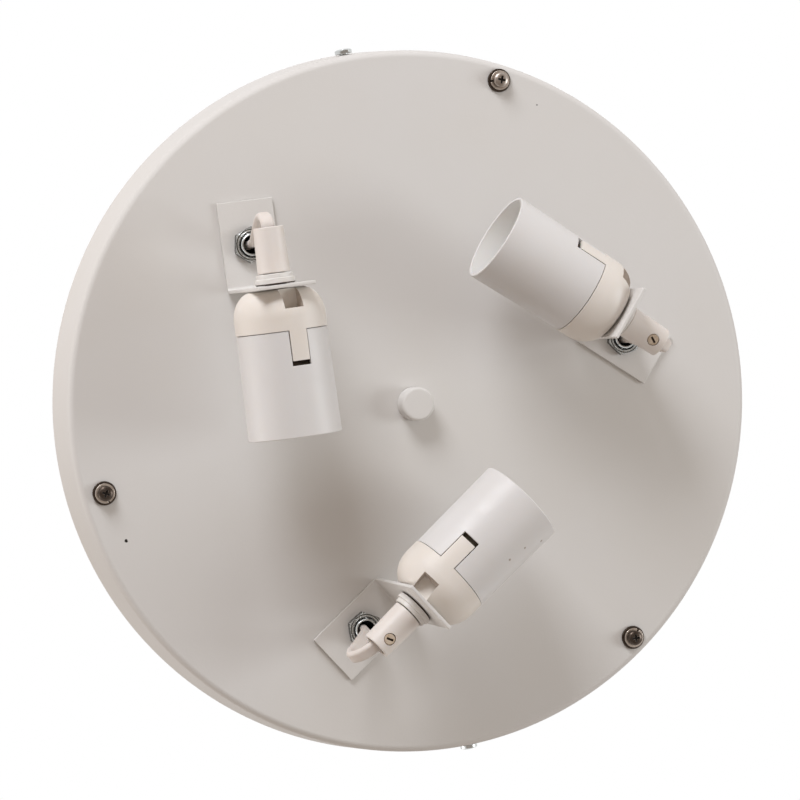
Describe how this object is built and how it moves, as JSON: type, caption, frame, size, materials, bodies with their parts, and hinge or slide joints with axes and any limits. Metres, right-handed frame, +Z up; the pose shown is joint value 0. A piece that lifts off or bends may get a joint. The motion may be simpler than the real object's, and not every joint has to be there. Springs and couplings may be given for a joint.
{
  "type": "led ceiling light",
  "caption": "Round steel ceiling pan with a fixing bar and shade screws, carrying lampholders on swivelling angle brackets with flexes looped out of threaded tubes.",
  "frame": {"origin": "centre of the top face of the ceiling bar, which lies against the ceiling", "axes": "+Z points up into the ceiling, +X runs from the origin towards the pivot of the first bracket"},
  "size_m": [0.314, 0.314, 0.0877],
  "materials": {
    "white_paint": "satin white paint",
    "zinc_steel": "bright zinc plate",
    "dark_nickel": "dark nickel plate",
    "cream_plastic": "satin cream thermoplastic",
    "white_plastic": "satin white thermoplastic",
    "pale_nylon": "satin nylon",
    "tan_nylon": "satin nylon",
    "flex_cover": "soft white pvc",
    "brass": "bright",
    "terminal_nylon": "natural nylon",
    "ceramic": "unglazed ceramic",
    "rolled_shell": "bright rolled sheet"
  },
  "bodies": {
    "light": {"pan": "white_paint", "ceiling_bar": "zinc_steel", "side_screw_1": "zinc_steel", "side_screw_2": "zinc_steel", "flat_washer_1": "dark_nickel", "spring_washer_1": "dark_nickel", "shade_screw_1": "dark_nickel", "flat_washer_2": "dark_nickel", "spring_washer_2": "dark_nickel", "shade_screw_2": "dark_nickel", "flat_washer_3": "dark_nickel", "spring_washer_3": "dark_nickel", "shade_screw_3": "dark_nickel", "centre_cap": "white_paint", "centre_screw": "zinc_steel", "centre_nut": "zinc_steel", "terminal_block": "terminal_nylon", "earth_tag": "brass", "threaded_tube_1": "zinc_steel", "front_nut_1": "zinc_steel", "back_nut_1": "zinc_steel", "lead_1": "flex_cover", "threaded_tube_2": "zinc_steel", "front_nut_2": "zinc_steel", "back_nut_2": "zinc_steel", "lead_2": "flex_cover", "threaded_tube_3": "zinc_steel", "front_nut_3": "zinc_steel", "back_nut_3": "zinc_steel", "lead_3": "flex_cover"},
    "arm_1": {"bracket_1": "white_paint", "flex_1": "flex_cover", "lock_ring_1": "pale_nylon", "cord_grip_1": "white_plastic", "grip_screw_1": "tan_nylon", "holder_cap_1": "cream_plastic", "holder_sleeve_1": "white_plastic", "contact_base_1": "ceramic", "thread_shell_1": "rolled_shell"},
    "arm_2": {"bracket_2": "white_paint", "flex_2": "flex_cover", "lock_ring_2": "pale_nylon", "cord_grip_2": "white_plastic", "grip_screw_2": "tan_nylon", "holder_cap_2": "cream_plastic", "holder_sleeve_2": "white_plastic", "contact_base_2": "ceramic", "thread_shell_2": "rolled_shell"},
    "arm_3": {"bracket_3": "white_paint", "flex_3": "flex_cover", "lock_ring_3": "pale_nylon", "cord_grip_3": "white_plastic", "grip_screw_3": "tan_nylon", "holder_cap_3": "cream_plastic", "holder_sleeve_3": "white_plastic", "contact_base_3": "ceramic", "thread_shell_3": "rolled_shell"},
    "contact_1": {"centre_contact_1": "brass"},
    "contact_2": {"centre_contact_2": "brass"},
    "contact_3": {"centre_contact_3": "brass"}
  },
  "joints": [
    {"name": "swivel_1", "type": "hinge", "parent": "light", "child": "arm_1", "pos_m": [0.1015, -0.0015, -0.029], "axis": [0, 0, 1], "range_deg": [-19.3, 20.7]},
    {"name": "swivel_2", "type": "hinge", "parent": "light", "child": "arm_2", "pos_m": [-0.05075, 0.0864, -0.029], "axis": [0, 0, 1], "range_deg": [-28, 12]},
    {"name": "swivel_3", "type": "hinge", "parent": "light", "child": "arm_3", "pos_m": [-0.05075, -0.0894, -0.029], "axis": [0, 0, 1], "range_deg": [-13.5, 26.5]},
    {"name": "contact_spring_1", "type": "hinge", "parent": "arm_1", "child": "contact_1", "pos_m": [0.06765, -0.01951, -0.0672], "axis": [0, 0, 1], "range_deg": [0, 10], "stiffness_Nm_per_rad": 0.25},
    {"name": "contact_spring_2", "type": "hinge", "parent": "arm_2", "child": "contact_2", "pos_m": [-0.01553, 0.07125, -0.0672], "axis": [0, 0, 1], "range_deg": [0, 10], "stiffness_Nm_per_rad": 0.25},
    {"name": "contact_spring_3", "type": "hinge", "parent": "arm_3", "child": "contact_3", "pos_m": [-0.04556, -0.05141, -0.0672], "axis": [0, 0, 1], "range_deg": [0, 10], "stiffness_Nm_per_rad": 0.25}
  ]
}
